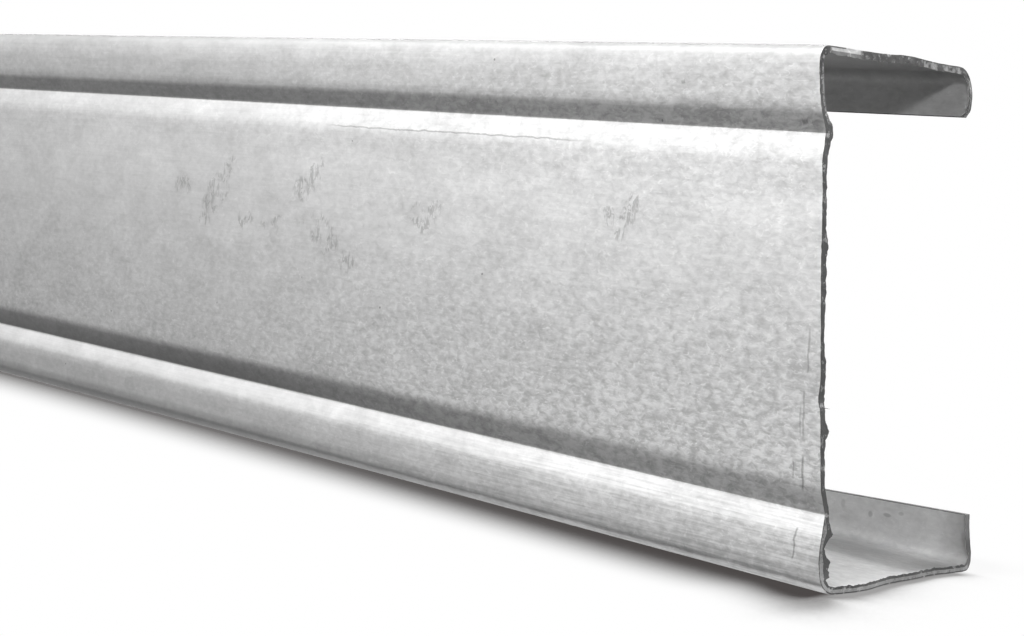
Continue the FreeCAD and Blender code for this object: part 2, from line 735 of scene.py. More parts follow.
@dataclass(frozen=True)
class InnerZinc(GalvanisedZinc):
    """The inner face's zinc, with painted light on the lower flange and painted shade under the upper one."""

    name: str = "inner_zinc"
    metallic: float = 0.06
    specular: float = 0.05
    pinhole_depth: float = 0.0
    mottle_strength: float = 0.5
    roll_strength: float = 0.08
    lip_y: float = 17.0 * MM
    # Painted light on the lower part, and painted shade under the upper flange.
    painted_light_low_tone: float = 1.06
    lower_heights: Span = (60 * MM, 20 * MM)
    painted_shade_under_flange_tone: float = 0.56
    upper_height: float = 73.2 * MM
    upper_fade: float = 0.8 * MM
    bare_heights: Span = (73.6 * MM, 72.4 * MM)
    # A painted highlight along the lower lip's bend, and painted light on the lower flange beside it.
    painted_highlight_bend_tone: float = 1.22
    bend_before_lip: Span = (4.5 * MM, 2 * MM)
    bend_heights: Span = (2.4 * MM, 1.2 * MM)
    painted_light_flange_tone: float = 1.12
    flange_before_lip: Span = (6 * MM, 12 * MM)
    flange_heights: Span = (2.2 * MM, 1.2 * MM)
    # Painted shade at the cut end beside the lower lip.
    painted_shade_at_cut_tone: float = 0.62
    shade_at_cut_behind: Span = (7 * MM, 0.0)
    shade_at_cut_before_lip: Span = (17 * MM, 4 * MM)
    shade_at_cut_heights: Span = (20 * MM, 10 * MM)
    smudges: tuple[Smudge, ...] = LIP_SMUDGES
    smudges_before_lip: Span = (1 * MM, 0.0)

    def _painted_shade_and_marks(self, spot: Spot) -> Input:
        """Painted light and shade by height: a painted highlight along the lower lip's bend, painted light on
        the lower flange and low down, and painted shade under the upper flange and at the cut beside that
        lip.

        Args:
            spot: Where the tone is wanted.

        Returns:
            The brightness.
        """
        before_lip = self.lip_y - spot.y
        lower = spot.z.between(*self.lower_heights)
        upper = spot.z.above(self.upper_height, self.upper_fade)
        bend = before_lip.between(*self.bend_before_lip) * spot.z.between(*self.bend_heights)
        flange = before_lip.between(*self.flange_before_lip) * spot.z.between(*self.flange_heights)
        shade_at_cut = self._behind(spot).between(*self.shade_at_cut_behind) * before_lip.between(*self.shade_at_cut_before_lip)
        shade_at_cut = shade_at_cut * spot.z.between(*self.shade_at_cut_heights)
        smudges = sum(smudge.share(spot) for smudge in self.smudges)
        smudges = smudges * before_lip.between(*self.smudges_before_lip)
        # The painted light and shade multiply the tone, and the smudges darken it.
        tone = 1.0 + lower * (self.painted_light_low_tone - 1.0) + upper * (self.painted_shade_under_flange_tone - 1.0)
        for share, value in ((bend, self.painted_highlight_bend_tone), (flange, self.painted_light_flange_tone), (shade_at_cut, self.painted_shade_at_cut_tone)):
            tone = tone * (1.0 + share * (value - 1.0))
        return tone * (1.0 - smudges)

    def _metallic(self, spot: Spot) -> Input:
        """No bare metal under the upper flange."""
        return spot.z.between(*self.bare_heights) * self.metallic


@dataclass(frozen=True)
class ShearedSteel(SurfaceFinish):
    """The bare, torn edge of the sheet where it was cut: dark steel with a few bright flecks."""

    name: str = "sheared_steel"
    dark: Triple = (0.085, 0.085, 0.085)
    bright: Triple = (0.5, 0.5, 0.5)
    metallic: float = 0.3
    roughness: float = 0.5
    flecks: Cloud = Cloud(1.4 * MM, 2.0, 0.6)
    grit: Cloud = Cloud(0.3 * MM, 2.0, 0.6)
    grit_in_flecks: float = 0.35
    fleck_window: Span = (0.58, 0.74)
    relief_strength: float = 0.6
    relief_height: float = 0.1 * MM

    def _shader(self, board: NodeBoard) -> Signal:
        """Mixes the steel's tones.

        Args:
            board: The material's nodes.

        Returns:
            The shader.
        """
        spot = board.spot()
        flecks = self.flecks.at(spot)
        grit = self.grit.at(spot)
        values = {
            "Base Color": board.blend(self._bright_share(spot, flecks, grit), self.dark, self.bright),
            "Metallic": self.metallic,
            "Roughness": self.roughness,
            "Normal": board.bump(grit + flecks, self.relief_strength, self.relief_height),
        }
        return board.out("BsdfPrincipled", {}, values)

    def _bright_share(self, spot: Spot, flecks: Signal, grit: Signal) -> Signal:
        """Where the bright flecks lie."""
        return (flecks + (grit - 0.5) * self.grit_in_flecks).between(*self.fleck_window)


@dataclass(frozen=True)
class SmearedCore(ShearedSteel):
    """The middle of the cut edge, where zinc was smeared over it: dotted, and solid along some stretches."""

    name: str = "smeared_core"
    bright: Triple = (0.85, 0.85, 0.85)
    fade: float = 0.5 * MM
    fine_grit: float = 0.4
    worn_window: Span = (0.28, 0.5)
    lower_height: float = 9.5 * MM
    lower_share: float = 0.4
    web_height: float = 64.2 * MM
    web_share: float = 0.32
    web_window: Span = (0.36, 0.54)
    bend_height: float = 73.3 * MM
    bend_fade: float = 0.3 * MM
    strip_y: Span = (-16.4 * MM, -9.6 * MM)
    strip_foot: float = 74.3 * MM
    strip_foot_fade: float = 0.07 * MM
    strip_foot_share: float = 0.26
    strip_wear: float = 0.28
    patches_y: float = 5.0 * MM
    patches_window: Span = (0.4, 0.6)
    patches_share: float = 0.42
    lip_y: float = 17.0 * MM
    lip_foot: Span = (3 * MM, 6 * MM)
    lip_top: Span = (60 * MM, 20 * MM)
    lip_share: float = 0.2
    dot_grit: float = 0.3
    dot_window: Span = (0.52, 0.62)
    dot_share: float = 0.3
    dots_above: Span = (56 * MM, 60 * MM)
    dots_below: Span = (14 * MM, 10 * MM)

    def _bright_share(self, spot: Spot, flecks: Signal, grit: Signal) -> Signal:
        """Solid on the lower flange and part of the upper one, thin over the upper groove, and else dotted.

        Args:
            spot: Where the share is wanted.
            flecks: Coarse noise.
            grit: Fine noise.

        Returns:
            The share of smeared zinc.
        """
        y, z = spot.y, spot.z
        worn = (flecks * (1.0 - self.fine_grit) + grit * self.fine_grit).between(*self.worn_window)
        lower = z.below(self.lower_height, self.fade) * self.lower_share * worn
        web = z.above(self.web_height, self.fade) * z.below(self.bend_height, self.bend_fade)
        web = web * self.web_share * grit.between(*self.web_window)
        flange = z.above(self.bend_height, self.bend_fade)
        first, last = self.strip_y
        strip = flange * y.above(first, self.fade) * y.below(last, self.fade)
        strip = strip * (self.strip_foot_share + z.above(self.strip_foot, self.strip_foot_fade))
        strip = strip.at_most(1.0) * (1.0 - self.strip_wear + self.strip_wear * worn)
        patches = flange * y.above(self.patches_y, self.fade) * flecks.between(*self.patches_window)
        before_lip = y.below(self.lip_y, self.fade)
        solid = lower.at_least(strip).at_least(patches * self.patches_share) * before_lip
        ends = z.between(*self.dots_above) + z.between(*self.dots_below)
        dots = (flecks * (1.0 - self.dot_grit) + grit * self.dot_grit).between(*self.dot_window)
        dotted = dots * (self.dot_share + self.dot_share * ends) * before_lip
        lip = (1.0 - before_lip) * z.between(*self.lip_foot) * z.between(*self.lip_top) * self.lip_share
        return solid.at_least(web).at_least(dotted).at_least(lip)


@dataclass(frozen=True)
class StudioFloor(SurfaceFinish):
    """Pale paper floor. What the eye and gloss see is white with the channel's contact shadow in it."""

    name: str = "paper_floor"
    shadow_colour: Triple = (0.075, 0.068, 0.066)
    white: Triple = (1.0, 1.0, 1.0)
    bounce_colour: Triple = (0.05, 0.05, 0.05)
    shadow_reach: float = 27 * MM
    shadow_samples: int = 40
    cut_x: float = 0.5
    web_y: float = -19 * MM
    near_behind: Span = (200 * MM, 20 * MM)
    end_behind: Span = (11 * MM, -5 * MM)
    past_web: Span = (3 * MM, 7 * MM)
    clear_share: float = 0.89
    clear_share_end: float = 0.97
    darkest_far: float = 0.34
    darkest_near: float = 0.52
    darkest_end: float = 0.86
    darkest_by_lip: float = 0.79
    dimmest_far: float = 0.14
    dimmest_before_cut: float = 0.3
    cut_fade: float = 1 * MM
    before_cut_past_web: Span = (-8 * MM, 4 * MM)
    dimmest_by_lip: float = 0.95
    lip_y: Span = (11 * MM, 17 * MM)

    def _shader(self, board: NodeBoard) -> Signal:
        """Mixes what is seen of the paper with the little light that it throws back.

        Args:
            board: The material's nodes.

        Returns:
            The shader.
        """
        camera, seen = board.ray_kinds()
        settings = {"samples": self.shadow_samples}
        open_sky = board.out("AmbientOcclusion", settings, {"Distance": self.shadow_reach}, "AO")
        light = self._light(board.spot(), open_sky).at_least(1.0 - camera)
        paper = board.blend(light, self.shadow_colour, self.white)
        glow = board.out("Emission", {}, {"Color": paper, "Strength": 1.0})
        bounce = board.out("BsdfDiffuse", {}, {"Color": self.bounce_colour})
        return board.out("MixShader", {}, {0: seen, 1: bounce, 2: glow})

    def _light(self, spot: Spot, open_sky: Signal) -> Signal:
        """How light the paper is.

        The shadow is broad in front of the web at the cut end, narrower and paler well behind it, and weak
        straight in front of the open end and beside the lips, where the low lamps reach the paper.

        Args:
            spot: The spot of the paper.
            open_sky: The share of the sky that is open over it.

        Returns:
            0 in the darkest shadow and 1 on clear paper.
        """
        behind = self.cut_x - spot.x
        past_web = spot.y - self.web_y
        near = behind.between(*self.near_behind)
        end = behind.between(*self.end_behind)
        darkest = self.darkest_far + near * (self.darkest_near - self.darkest_far)
        darkest = darkest + end * (self.darkest_end - self.darkest_near)
        darkest = darkest + end * past_web.between(*self.past_web) * (self.darkest_by_lip - self.darkest_end)
        clear = self.clear_share + end * (self.clear_share_end - self.clear_share)
        light = ((open_sky - darkest) / (clear - darkest)).between(0.0, 1.0)
        before_cut = behind.below(0.0, self.cut_fade) * past_web.between(*self.before_cut_past_web)
        light = light.at_least((1.0 - near) * self.dimmest_far).at_least(before_cut * self.dimmest_before_cut)
        return light.at_least(spot.y.between(*self.lip_y) * self.dimmest_by_lip)


@dataclass(frozen=True)
class Corner:
    """A corner of the sheet's outer face in the section, with the radius on the hollow side of its bend."""

    y: float
    z: float
    hollow_radius: float = 0.0

    def point(self) -> Vector:
        """The corner as a vector in the section."""
        return Vector((self.y, self.z))


@dataclass(frozen=True)
class SectionPoint:
    """A point of the sheet's outer face and the unit normal that points into the sheet."""

    y: float
    z: float
    inward_y: float
    inward_z: float
    straight_after: bool

    def at_depth(self, depth: float) -> Span:
        """The place in the section at a depth under the outer face."""
        return self.y + self.inward_y * depth, self.z + self.inward_z * depth


@dataclass(frozen=True)
class SheetSection:
    """The section of the channel, as the path of its outer face from the upper lip round to the lower lip."""

    width: float
    height: float
    thickness: float = 0.8 * MM
    lip_height: float = 7.5 * MM
    web_bend_radius: float = 1.4 * MM
    lip_bend_radius: float = 2.2 * MM
    upper_groove_from_top: float = 12.1 * MM
    lower_groove_from_base: float = 10.9 * MM
    groove_depth: float = 1.0 * MM
    groove_half_width: float = 3.7 * MM
    groove_crease_radius: float = 0.12 * MM
    groove_shoulder_radius: float = 6.2 * MM
    bend_step_degrees: float = 9.0
    flat_step: float = 1.6 * MM
    border: float = 0.13 * MM

    def corners(self) -> list[Corner]:
        """Lays out the section.

        Returns:
            The outer face's corners, with Y from the middle of the width.
        """
        web = -self.width / 2
        lip = self.width / 2
        return [
            Corner(lip, self.height - self.lip_height),
            Corner(lip, self.height, self.lip_bend_radius),
            Corner(web, self.height, self.web_bend_radius),
            *self._groove(web, self.height - self.upper_groove_from_top),
            *self._groove(web, self.lower_groove_from_base),
            Corner(web, 0.0, self.web_bend_radius),
            Corner(lip, 0.0, self.lip_bend_radius),
            Corner(lip, self.lip_height),
        ]

    def _groove(self, web: float, height: float) -> list[Corner]:
        """The three corners of a groove, from its upper shoulder down.

        Args:
            web: The Y of the web's outer face.
            height: The height of the groove's crease.

        Returns:
            The corners.
        """
        return [
            Corner(web, height + self.groove_half_width, self.groove_shoulder_radius),
            Corner(web + self.groove_depth, height, self.groove_crease_radius),
            Corner(web, height - self.groove_half_width, self.groove_shoulder_radius),
        ]

    def path(self) -> list[SectionPoint]:
        """Samples the outer face, in flat runs and bends.

        Returns:
            The points from the upper lip's free edge to the lower lip's.
        """
        corners = self.corners()
        runs = [(b.point() - a.point()).normalized() for a, b in zip(corners, corners[1:])]
        start = corners[0].point()
        points = [self._section_point(start, runs[0], True)]
        start = start + runs[0] * self.border
        for corner, before, after in zip(corners[1:-1], runs, runs[1:]):
            turn = math.atan2(before.x * after.y - before.y * after.x, before.dot(after))
            radius = corner.hollow_radius + (self.thickness if turn > 0 else 0.0)
            tangent = radius * math.tan(abs(turn) / 2)
            points += self._flat(start, corner.point() - before * tangent, before)
            points += self._bend(corner.point() - before * tangent, before, turn, radius)
            start = corner.point() + after * tangent
        end = corners[-1].point()
        points += self._flat(start, end - runs[-1] * self.border, runs[-1])
        points.append(self._section_point(end - runs[-1] * self.border, runs[-1], True))
        points.append(self._section_point(end, runs[-1], False))
        return points

    @staticmethod
    def _section_point(place: Vector, run: Vector, straight_after: bool) -> SectionPoint:
        """A point with its inward normal, which is to the left of the run."""
        return SectionPoint(place.x, place.y, -run.y, run.x, straight_after)

    def _flat(self, start: Vector, end: Vector, run: Vector) -> list[SectionPoint]:
        """Evenly spaced points along a flat run, without its end."""
        count = max(1, round((end - start).length / self.flat_step))
        return [self._section_point(start.lerp(end, i / count), run, True) for i in range(count)]

    def _bend(self, start: Vector, before: Vector, turn: float, radius: float) -> list[SectionPoint]:
        """Samples a bend.

        Args:
            start: Where the bend starts.
            before: The way that the path runs there.
            turn: The bend's angle, above 0 to the left.
            radius: The outer face's radius.

        Returns:
            Points round the bend, without its end.
        """
        side = 1.0 if turn > 0 else -1.0
        centre = start + Vector((-before.y, before.x)) * radius * side
        count = max(2, math.ceil(math.degrees(abs(turn)) / self.bend_step_degrees))
        points = []
        for i in range(count):
            rotation = Matrix.Rotation(turn * i / count, 2)
            place = centre + rotation @ (start - centre)
            points.append(self._section_point(place, rotation @ before, False))
        return points


def refined(points: Path, parts: int) -> list[Path]:
    """Splits the flat steps of a path.

    Args:
        points: The path.
        parts: How many parts each flat step gets.

    Returns:
        For each step of the path, its first point and the points added before the next one.
    """
    groups = []
    for first, second in zip(points, points[1:]):
        group = [first]
        for i in range(1, parts if first.straight_after else 1):
            share = i / parts
            y = first.y + (second.y - first.y) * share
            z = first.z + (second.z - first.z) * share
            group.append(replace(first, y=y, z=z))
        groups.append(group)
    groups.append([points[-1]])
    return groups


@dataclass(frozen=True)
class Tear:
    """A place on the cut edge where the blade tore the sheet, in millimetres.

    Reach is along the length and away from the stock. Curl bends the edge into the channel, and burr raises
    only its inner corner.
    """

    y: float
    z: float
    half_width: float
    reach: float = 0.0
    curl: float = 0.0
    burr: float = 0.0
    bluntness: float = 1.0

    def weight(self, y: float, z: float) -> float:
        """How strongly the tear acts at a place in the section, which is in metres."""
        return clamp(self.bluntness * bell(math.hypot(y / MM - self.y, z / MM - self.z), self.half_width))


@dataclass(frozen=True)
class CutEnd:
    """One cut end of the stock: how far it is out of square, how ragged it is, and where it is torn.

    The patterns are places in the noise that keep the burr, the rollover and the two sizes of lumps apart.
    """

    skew_degrees: float = 0.0
    ragged: float = 0.05 * MM
    ragged_size: float = 0.9 * MM
    ragged_patterns: Span = (3.0, 7.0)
    fine_strength: float = 0.6
    fine_size: float = 0.35
    burr: float = 0.05 * MM
    burr_unevenness: float = 0.6
    burr_fine_size: float = 0.4
    burr_length: float = 0.4 * MM
    burr_pattern: float = 2.0
    burr_sharpness: int = 4
    torn_burr_unevenness: float = 0.5
    rollover: float = 0.04 * MM
    rollover_unevenness: float = 0.6
    rollover_size: float = 2.0
    rollover_pattern: float = 1.0
    bent_length: float = 1.6 * MM
    reach_length: float = 6 * MM
    tears: tuple[Tear, ...] = ()

    def slope(self) -> float:
        """How far the end falls back for each metre of height."""
        return math.tan(math.radians(self.skew_degrees))

    def reach(self, y: float, z: float, depth_share: float) -> float:
        """How far the edge stands past the plane of the cut.

        Args:
            y, z: The place in the section.
            depth_share: 0 on the sheet's outer face and 1 on its inner face.

        Returns:
            The shift along the length, away from the stock.
        """
        depth = depth_share * 2.0 * self.ragged_size
        coarse, fine = self.ragged_patterns
        lumps = grain(depth, y, z, self.ragged_size, coarse)
        lumps += self.fine_strength * grain(depth, y, z, self.fine_size * self.ragged_size, fine)
        return self.ragged * lumps + MM * sum(tear.reach * tear.weight(y, z) for tear in self.tears)

    def curl(self, y: float, z: float, depth_share: float, behind: float) -> float:
        """How far a place near the edge is pushed into the channel.

        Args:
            y, z: The place in the section.
            depth_share: 0 on the sheet's outer face and 1 on its inner face.
            behind: The distance behind the end.

        Returns:
            The shift along the inward normal.
        """
        bent = clamp(1.0 - behind / self.bent_length) ** 2
        raised = clamp(1.0 - behind / self.burr_length)
        wave = grain(self.rollover_pattern, y, z, self.rollover_size * self.ragged_size)
        drawn = self.rollover * (1.0 + self.rollover_unevenness * wave) * (1.0 - depth_share)
        lumps = grain(self.burr_pattern, y, z, self.ragged_size)
        lumps += self.fine_strength * grain(self.burr_pattern, y, z, self.burr_fine_size * self.ragged_size)
        burr = self.burr * max(0.0, 1.0 + self.burr_unevenness * lumps)
        for tear in self.tears:
            weight = tear.weight(y, z) * MM
            drawn += tear.curl * weight
            burr += tear.burr * weight * (1.0 + self.torn_burr_unevenness * lumps)
        return drawn * bent + burr * depth_share**self.burr_sharpness * raised


@dataclass(frozen=True)
class Sliver:
    """A thin splinter of metal that stands off the cut edge, in millimetres."""

    y: float
    z: float
    length: float
    width: float
    pointing: Triple
    sides: int = 3


NEAR_END = CutEnd(
    skew_degrees=6.25,
    ragged=0.06 * MM,
    burr=0.3 * MM,
    rollover=0.08 * MM,
    tears=(
        Tear(-11, 75, 8, burr=0.15),
        Tear(5, 75, 9, burr=0.1),
        Tear(2.5, 75, 5, curl=-0.36),
        Tear(19, 71, 1.8, reach=0.3),
        Tear(19, 67.5, 0.7, reach=-0.8),
        Tear(-19, 71, 4, reach=-0.28, burr=-0.1),
        Tear(-18, 63, 1.6, burr=0.6),
        Tear(-19, 59, 2.5, burr=0.15),
        Tear(-19, 55, 8, reach=0.22),
        Tear(-19, 47.6, 1.4, burr=0.6),
        Tear(-19, 43, 2.5, burr=0.25),
        Tear(-19, 35.5, 2, burr=-0.2),
        Tear(-19, 31, 1.5, burr=0.3),
        Tear(-19, 26.8, 1.6, reach=-0.4, burr=0.4),
        Tear(-19, 22.2, 1.5, burr=0.6),
        Tear(-18.5, 9.2, 0.7, burr=0.9, bluntness=2.0),
        Tear(-18.8, 8.0, 0.6, burr=1.1, bluntness=2.0),
        Tear(-19, 3.5, 1.3, burr=1.3, bluntness=2.6),
        Tear(-19, 3.6, 3, reach=-0.55),
        Tear(19, 4.0, 4, reach=-0.35, burr=0.15),
        Tear(-11, 0, 7, reach=1.4),
        Tear(2.5, 0, 4.5, reach=0.6),
        Tear(15, 0, 5.5, reach=1.15),
    ),
)

FAR_END = CutEnd(ragged=0.02 * MM, burr=0.02 * MM, rollover=0.03 * MM)

SLIVERS = (Sliver(-18.2, 25.5, 1.0, 0.18, (0.5, 0.85, -0.1)),)


@dataclass(frozen=True)
class LowerLipLean:
    """The lower lip's free edge isn't straight near the cut: it rises at the end and dips behind it."""

    rise_at_end: float = 0.6 * MM
    dip: float = 0.65 * MM
    dip_behind_end: float = 35 * MM
    settled_behind_end: float = 90 * MM

    def shift(self, behind: float) -> float:
        """How far the free edge stands above its straight line.

        Args:
            behind: The distance behind the end.

        Returns:
            The height, below 0 in the dip.
        """
        if behind < self.dip_behind_end:
            return self.rise_at_end - (self.dip + self.rise_at_end) * behind / self.dip_behind_end
        share = (behind - self.dip_behind_end) / (self.settled_behind_end - self.dip_behind_end)
        return -self.dip * (1.0 - smooth(share))


@dataclass(frozen=True)
class StationPlan:
    """Where the cross rings of the sheet's mesh stand along its length."""

    coarse_step: float = 8 * MM
    near_end_step: float = 1.5 * MM
    near_end_length: float = 45 * MM
    fine_length: float = 4.0 * MM
    fine_count: int = 9
    finest_step: float = 0.15 * MM

    def coarse(self, low: float, high: float) -> list[float]:
        """Spaces the rings that stand well behind the cut.

        Args:
            low: The X of the far end.
            high: The X of the cut end.

        Returns:
            Ring places from the far end up to where the fine rings start.
        """
        middle = high - self.near_end_length
        count = round((middle - low) / self.coarse_step)
        places = [low, low + self.finest_step, low + self.near_end_step]
        places += [low + (middle - low) * i / count for i in range(1, count)]
        last = high - self.fine_length
        count = round((last - middle) / self.near_end_step)
        return places + [middle + (last - middle) * i / count for i in range(count + 1)]

    def fine(self, high: float) -> list[float]:
        """Spaces the rings close to the cut, closer together towards it.

        Args:
            high: The X of the cut end.

        Returns:
            Ring places up to the cut.
        """
        ratio = (self.fine_length / self.finest_step) ** (1.0 / self.fine_count)
        distances = [self.finest_step * ratio**k for k in range(self.fine_count)]
        return [high - distance for distance in reversed(distances)] + [high]


class FaceKind(Enum):
    """The kinds of face on the sheet, numbered as its materials are."""

    OUTER = 0
    INNER = 1
    SHEARED = 2
    CORE = 3
    SLIT = 4


class SheetMesh:
    """Collects the vertices and faces of the sheet, with the kind of each face."""

    def __init__(self) -> None:
        """Starts empty."""
        self.vertices: list[Triple] = []
        self.faces: list[tuple[int, ...]] = []
        self.kinds: list[int] = []

    def ring(self, places: Iterable[Triple]) -> list[int]:
        """Adds a row of vertices.

        Args:
            places: The vertices in order.

        Returns:
            Their numbers.
        """
        first = len(self.vertices)
        self.vertices.extend(places)
        return list(range(first, len(self.vertices)))

    def face(self, corners: Row, kind: FaceKind, flipped: bool = False) -> None:
        """Adds one face."""
        self.faces.append(tuple(reversed(corners)) if flipped else tuple(corners))
        self.kinds.append(kind.value)

    def strip(self, first: Row, second: Row, kinds: Sequence[FaceKind], flipped: bool) -> None:
        """Quads between two rows of the same length, with a kind for each."""
        for corners, kind in zip(zip(first, first[1:], second[1:], second), kinds):
            self.face(corners, kind, flipped)

    def widening(self, coarse: Row, groups: Sequence[Row], kinds: Sequence[FaceKind], flipped: bool) -> None:
        """Faces between a coarse row and a fine one, whose groups start at the coarse row's points."""
        for k, kind in enumerate(kinds):
            self.face([coarse[k], coarse[k + 1], groups[k + 1][0], *reversed(groups[k])], kind, flipped)

    def build(self, name: str, materials: Materials, sharp_degrees: float) -> bpy.types.Object:
        """Makes the object.

        Args:
            name: The piece's name.
            materials: Its materials, in the order of the kinds of face.
            sharp_degrees: Edges that turn more than this stay sharp.

        Returns:
            The new object, linked to the scene.
        """
        mesh = bpy.data.meshes.new(name)
        mesh.from_pydata(self.vertices, [], self.faces)
        for material in materials:
            mesh.materials.append(material)
        mesh.polygons.foreach_set("material_index", self.kinds)
        mesh.polygons.foreach_set("use_smooth", [True] * len(mesh.polygons))
        mesh.update()
        mesh.set_sharp_from_angle(angle=math.radians(sharp_degrees))
        return placed(name, mesh)


@dataclass(frozen=True)
class BentSheet:
    """The whole channel as one swept sheet, hand-cut at +X and square at -X."""

    section: SheetSection
    low_x: float
    high_x: float
    near_end: CutEnd
    far_end: CutEnd
    slivers: tuple[Sliver, ...] = ()
    lean: LowerLipLean = LowerLipLean()
    plan: StationPlan = StationPlan()
    flat_parts: int = 4
    edge_rows: int = 4
    skew_length: float = 60 * MM
    wave_height: float = 0.05 * MM
    wave_size: float = 45 * MM
    wave_foot: float = 6 * MM
    face_gap: float = 0.1 * MM
    dull_to_y: float = -13 * MM
    smeared_to_y: float = -9 * MM
    patched_from_y: float = 4 * MM
    slit_dark: Triple = (0.2, 0.2, 0.2)
    slit_bright: Triple = (0.4, 0.4, 0.4)
    sharp_degrees: float = 40.0
    name: str = "c_channel_sheet"

    def build(self) -> bpy.types.Object:
        """Makes the sheet.

        Returns:
            The channel's one visible piece.
        """
        mesh = SheetMesh()
        path = self.section.path()
        groups = refined(path, self.flat_parts)
        outer = self._sheet_face(mesh, path, groups, 0.0)
        inner = self._sheet_face(mesh, path, groups, 1.0)
        near_rows = self._near_face(mesh, groups, outer[-1], inner[-1])
        self._free_edge(mesh, outer, inner, near_rows, 0, True)
        self._free_edge(mesh, outer, inner, near_rows, -1, False)
        mesh.strip(inner[0], outer[0], [FaceKind.SHEARED] * len(path), False)
        for sliver in self.slivers:
            self._add_sliver(mesh, sliver)
        return mesh.build(self.name, self._materials(), self.sharp_degrees)

    def _materials(self) -> Materials:
        """Dresses the sheet.

        Returns:
            The materials, in the order of the kinds of face.
        """
        finishes = {
            FaceKind.OUTER: WornWebZinc(height=self.section.height, cut_x=self.high_x),
            FaceKind.INNER: InnerZinc(cut_x=self.high_x),
            FaceKind.SHEARED: ShearedSteel(),
            FaceKind.CORE: SmearedCore(),
            FaceKind.SLIT: ShearedSteel("slit_edge", self.slit_dark, self.slit_bright),
        }
        return [finishes[kind].material() for kind in FaceKind]

    def place(self, point: SectionPoint, x: float, depth_share: float) -> Triple:
        """Where a point of the sheet lies.

        Args:
            point: The point of the outer face in the section.
            x: The ring's place along the length, before the skew of the cut.
            depth_share: 0 on the sheet's outer face and 1 on its inner face.

        Returns:
            The vertex.
        """
        behind = self.high_x - x
        ahead = x - self.low_x
        depth = depth_share * self.section.thickness
        wave = grain(x, point.y, point.z, self.wave_size) * smooth(point.z / self.wave_foot)
        depth += self.wave_height * wave
        depth += self.near_end.curl(point.y, point.z, depth_share, behind)
        depth += self.far_end.curl(point.y, point.z, depth_share, ahead)
        y, z = point.at_depth(depth)
        x -= self.near_end.slope() * z * clamp(1.0 - behind / self.skew_length)
        near_share = clamp(1.0 - behind / self.near_end.reach_length)
        far_share = clamp(1.0 - ahead / self.far_end.reach_length)
        x += self.near_end.reach(point.y, point.z, depth_share) * near_share
        x -= self.far_end.reach(point.y, point.z, depth_share) * far_share
        return x, y, z + self.lean.shift(behind) * self._lower_lip_share(point)

    def _lower_lip_share(self, point: SectionPoint) -> float:
        """How far up the lower lip a point is.

        Args:
            point: The point of the outer face.

        Returns:
            0 at the foot of the lip and everywhere off it, and 1 at its free edge.
        """
        foot = self.section.lip_bend_radius + self.section.thickness
        on_lip = point.y > 0.0 and point.z <= self.section.lip_height
        return clamp((point.z - foot) / (self.section.lip_height - foot)) if on_lip else 0.0

    def _sheet_face(self, mesh: SheetMesh, path: Path, groups: Paths, depth_share: float) -> list[Row]:
        """Adds one face of the sheet.

        Args:
            mesh: What the face is added to.
            path: The section's points.
            groups: The same path, split more finely.
            depth_share: 0 for the outer face and 1 for the inner face.

        Returns:
            The face's rings, the fine ones at the cut end last.
        """
        flipped = depth_share > 0.5
        fine_path = [point for group in groups for point in group]
        coarse_kinds = self._column_kinds(len(path) - 1, 1, flipped)
        fine_kinds = self._column_kinds(len(fine_path) - 1, self.flat_parts, flipped)
        rings = []
        for points, kinds, stations in (
            (path, coarse_kinds, self.plan.coarse(self.low_x, self.high_x)),
            (fine_path, fine_kinds, self.plan.fine(self.high_x)),
        ):
            rows = [mesh.ring(self.place(point, x, depth_share) for point in points) for x in stations]
            for first, second in zip(rows, rows[1:]):
                mesh.strip(first, second, kinds, flipped)
            rings.append(rows)
        numbers = iter(rings[1][0])
        fine_groups = [[next(numbers) for _ in group] for group in groups]
        mesh.widening(rings[0][-1], fine_groups, coarse_kinds, flipped)
        return rings[0] + rings[1]

    @staticmethod
    def _column_kinds(count: int, border: int, inner: bool) -> list[FaceKind]:
        """The kind of each column of faces.

        Args:
            count: How many columns there are.
            border: How many of them the slit edge's dark border takes at each side of the inner face.
            inner: Whether this is the inner face.

        Returns:
            The kinds, from the upper lip round to the lower lip.
        """
        if not inner:
            return [FaceKind.OUTER] * count
        return [FaceKind.SLIT] * border + [FaceKind.INNER] * (count - 2 * border) + [FaceKind.SLIT] * border

    def _near_face(self, mesh: SheetMesh, groups: Paths, outer: Row, inner: Row) -> list[Row]:
        """Adds the cut face across the sheet's thickness.

        Args:
            mesh: What the face is added to.
            groups: The section's finely split path.
            outer: The outer face's last ring.
            inner: The inner face's last ring.

        Returns:
            The rows between the two faces.
        """
        path = [point for group in groups for point in group]
        shares = [k / self.edge_rows for k in range(1, self.edge_rows)]
        rows = [mesh.ring(self.place(point, self.high_x, share) for point in path) for share in shares]
        for k, (first, second) in enumerate(zip([outer, *rows], [*rows, inner])):
            mesh.strip(first, second, [self._edge_kind(point, k) for point in path], False)
        return rows

    def _edge_kind(self, point: SectionPoint, row: int) -> FaceKind:
        """The kind of a face of the cut edge.

        Args:
            point: Its place in the section.
            row: Its row, from the outer face.

        Returns:
            The kind.
        """
        sheared, core = FaceKind.SHEARED, FaceKind.CORE
        on_upper_flange = point.z > self.section.height - self.face_gap
        on_lower_lip = point.y > self.section.width / 2 - self.face_gap and point.z < self.section.lip_height
        over_upper_groove = point.z > self.section.height - self.section.upper_groove_from_top
        if on_upper_flange and point.y < self.smeared_to_y:
            kinds = (FaceKind.SLIT if point.y < self.dull_to_y else core, core, core, core)
        elif on_lower_lip or (on_upper_flange and point.y > self.patched_from_y):
            kinds = (sheared, core, core, core)
        elif over_upper_groove and point.y < 0.0:
            kinds = (sheared, sheared, sheared, core)
        else:
            kinds = (sheared, core, core, sheared)
        return kinds[row]

